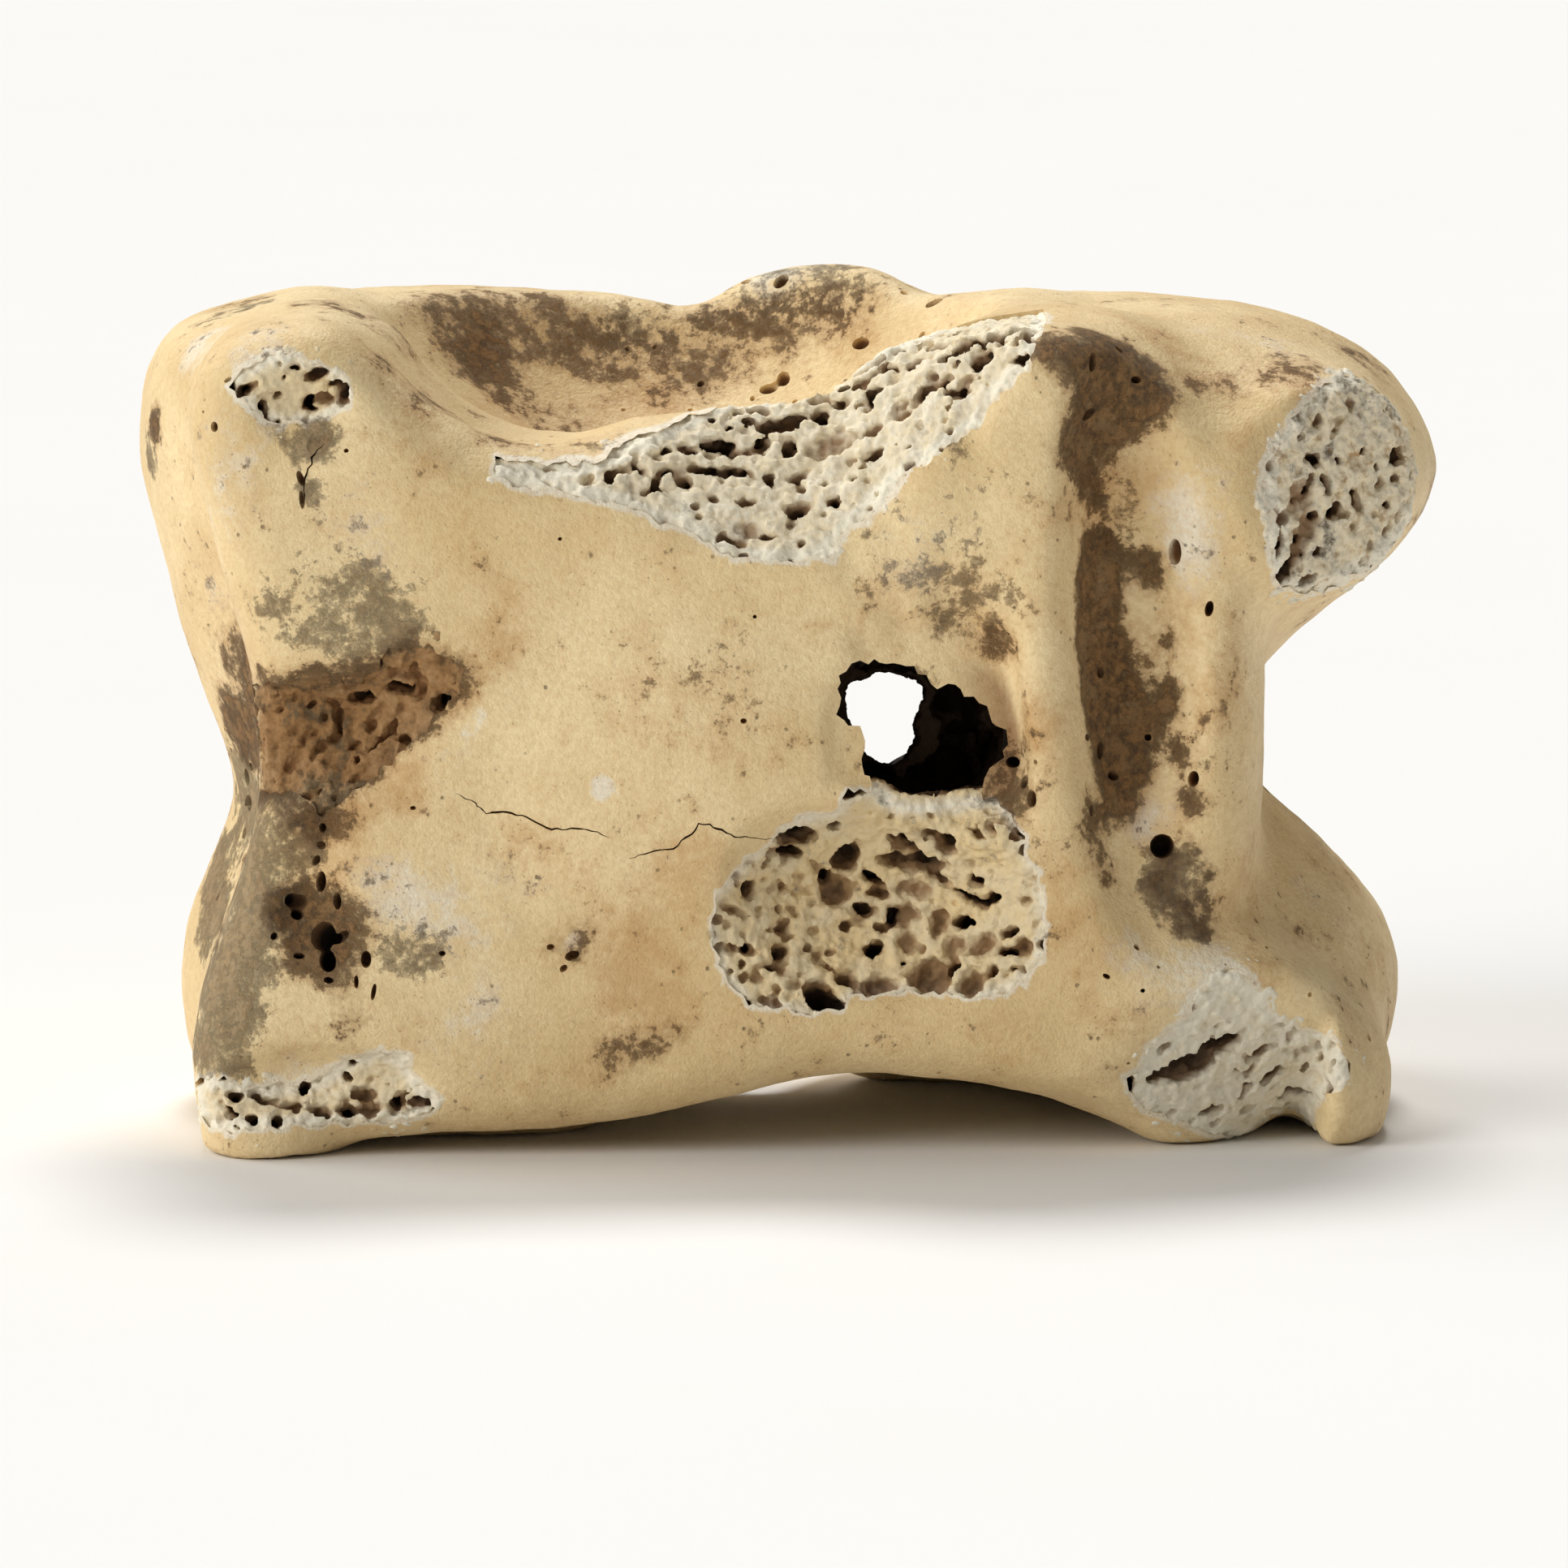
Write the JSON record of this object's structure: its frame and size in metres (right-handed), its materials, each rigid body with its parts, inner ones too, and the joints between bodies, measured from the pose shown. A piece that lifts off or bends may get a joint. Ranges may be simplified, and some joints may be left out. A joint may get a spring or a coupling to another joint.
{
  "type": "sheep knucklebone",
  "caption": "Small ankle bone with a pulley-shaped joint at each end, a flat heel face with a hole through it, and worn, spongy breaks; lies on its inner side.",
  "frame": {"origin": "middle of the bone's box, at the level it rests on", "axes": "+X towards the ankle end, -Y out of the heel face, +Z towards the outer side; the bone lies on its inner side"},
  "size_m": [0.0306, 0.0176, 0.0197],
  "materials": {
    "old_bone": "dry, unglazed old bone, cream with brown stains"
  },
  "bodies": {
    "root": {"knucklebone": "old_bone"}
  },
  "joints": []
}
